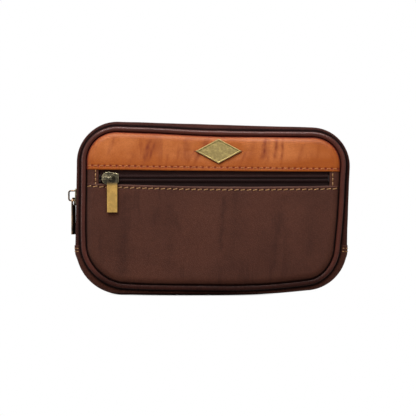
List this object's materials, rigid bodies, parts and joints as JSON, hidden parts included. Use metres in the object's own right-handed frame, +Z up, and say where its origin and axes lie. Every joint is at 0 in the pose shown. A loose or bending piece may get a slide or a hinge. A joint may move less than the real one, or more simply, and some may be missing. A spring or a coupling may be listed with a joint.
{
  "type": "waist pack",
  "caption": "Leather waist pack worn on a belt: two-tone piped front with a zipped flat pocket and bare diamond badge, zip-round main compartment, belt loops on the back.",
  "frame": {"origin": "on the standing surface, under the middle of the pack's width and of its gusset's depth", "axes": "+X to the viewer's right across the width, +Y from the front face to the back, +Z up"},
  "size_m": [0.218, 0.0582, 0.1345],
  "materials": {
    "tan_leather": "semi-gloss, drum-dyed, veined",
    "brown_leather": "fine pebble grain, satin",
    "dark_leather": "smooth, satin",
    "antique_brass": "antiqued, brushed on the high places",
    "zip_tape": "woven",
    "zip_coil": "nylon",
    "lining_cloth": "plain weave",
    "stiffener_board": "matt",
    "piping_cord": "foamed cord",
    "gold_thread": "bonded thread",
    "tan_thread": "bonded thread"
  },
  "bodies": {
    "back_shell": {"back_panel": "dark_leather", "back_board": "stiffener_board", "back_lining": "lining_cloth", "inner_slip_pocket": "lining_cloth", "belt_loop_left": "dark_leather", "belt_loop_right": "dark_leather", "belt_loop_rivets": "antique_brass", "bottom_gusset": "dark_leather", "bottom_gusset_lining": "lining_cloth", "back_piping_cover": "dark_leather", "back_piping_cord": "piping_cord", "gusset_strip_back": "dark_leather", "gusset_lining_back": "lining_cloth", "main_zip_tape_back": "zip_tape", "main_zip_coil_back": "zip_coil", "gusset_end_stitching": "gold_thread", "zip_edge_stitching_back": "gold_thread"},
    "front_shell": {"front_yoke": "tan_leather", "front_pocket_panel": "brown_leather", "zip_tab_left": "brown_leather", "zip_tab_right": "brown_leather", "badge": "antique_brass", "badge_backing": "antique_brass", "front_pocket_bag": "lining_cloth", "front_board": "stiffener_board", "front_lining": "lining_cloth", "front_piping_cover": "dark_leather", "front_piping_cord": "piping_cord", "gusset_strip_front": "dark_leather", "gusset_lining_front": "lining_cloth", "main_zip_tape_front": "zip_tape", "main_zip_coil_front": "zip_coil", "front_zip_tape_upper": "zip_tape", "front_zip_tape_lower": "zip_tape", "front_zip_coil_upper": "zip_coil", "front_zip_coil_lower": "zip_coil", "front_zip_stops": "antique_brass", "yoke_stitching": "tan_thread", "pocket_stitching": "gold_thread", "tab_stitching": "tan_thread", "zip_edge_stitching_front": "gold_thread"},
    "front_slider": {"front_slider_body": "antique_brass", "front_slider_crown": "antique_brass"},
    "front_pull": {"front_zip_pull": "antique_brass"},
    "main_slider": {"main_slider_body": "antique_brass", "main_slider_crown": "antique_brass"},
    "main_pull": {"main_zip_pull": "antique_brass"}
  },
  "joints": [
    {"name": "front_opening", "type": "hinge", "parent": "back_shell", "child": "front_shell", "pos_m": [0, -0.019, 0.0066], "axis": [1, 0, 0], "range_deg": [0, 24]},
    {"name": "front_zip", "type": "slide", "parent": "front_shell", "child": "front_slider", "axis": [1, 0, 0], "range_m": [0, 0.1595]},
    {"name": "front_pull_swing", "type": "hinge", "parent": "front_slider", "child": "front_pull", "pos_m": [-0.07625, -0.0252, 0.08875], "axis": [0, -1, 0], "range_deg": [-45, 100]},
    {"name": "main_zip", "type": "slide", "parent": "back_shell", "child": "main_slider", "axis": [0, 0, 1], "range_m": [-0.03, 0.021]},
    {"name": "main_pull_lift", "type": "hinge", "parent": "main_slider", "child": "main_pull", "pos_m": [-0.108, 0, 0.0747], "axis": [0, 1, 0], "range_deg": [0, 110]}
  ]
}
